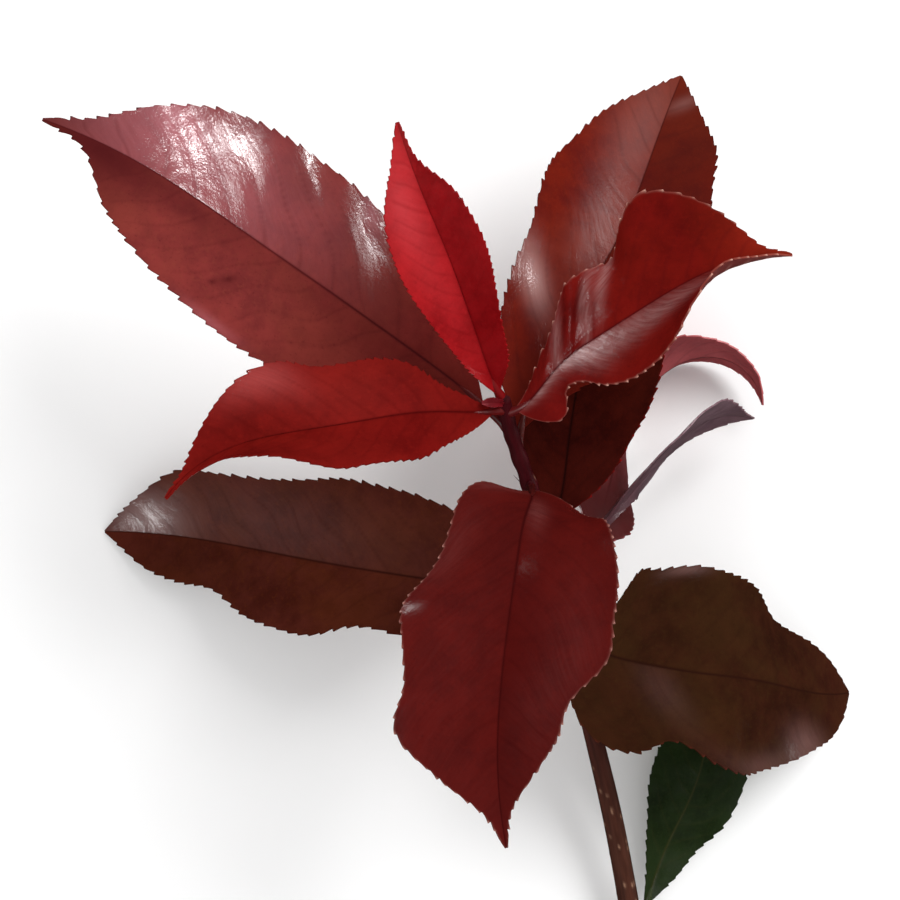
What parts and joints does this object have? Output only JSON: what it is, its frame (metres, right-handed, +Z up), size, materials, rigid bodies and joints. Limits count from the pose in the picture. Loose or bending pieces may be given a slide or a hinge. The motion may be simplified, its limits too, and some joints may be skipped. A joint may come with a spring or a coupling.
{
  "type": "cut photinia shoot",
  "caption": "Cut leafy shoot of a red-leaved photinia shrub, lying down: toothed glossy leaves from scarlet to dark maroon spiral round one tapering stem.",
  "frame": {"origin": "middle of the shoot's box in plan, on the surface that it lies on", "axes": "+Z up, out of that surface; +Y the way the tip of the shoot points; +X to the right as seen from above"},
  "size_m": [0.2077, 0.2378, 0.1304],
  "materials": {
    "leaf_scarlet": "glossy young leaf, scarlet",
    "leaf_crimson": "glossy leathery leaf, crimson",
    "leaf_maroon": "glossy leathery leaf, maroon",
    "leaf_dark_red": "satin leathery leaf, dark red",
    "leaf_brown_red": "satin leathery leaf, brown red",
    "leaf_olive_brown": "leathery leaf turning green, olive brown",
    "leaf_deep_green": "leathery old leaf, deep green",
    "leaf_rose": "leathery leaf seen on its margin, rose red",
    "leaf_purple_grey": "leathery leaf seen on its margin, purple grey",
    "stem_bark": "smooth young bark, dark red"
  },
  "bodies": {
    "root": {"leaf_bud": "leaf_dark_red", "leaf_01": "leaf_maroon", "leaf_02": "leaf_scarlet", "leaf_03": "leaf_crimson", "leaf_04": "leaf_maroon", "leaf_05": "leaf_crimson", "leaf_06": "leaf_brown_red", "leaf_07": "leaf_dark_red", "leaf_08": "leaf_brown_red", "leaf_09": "leaf_olive_brown", "leaf_10": "leaf_deep_green", "leaf_11": "leaf_rose", "leaf_12": "leaf_purple_grey", "stem": "stem_bark"}
  },
  "joints": []
}
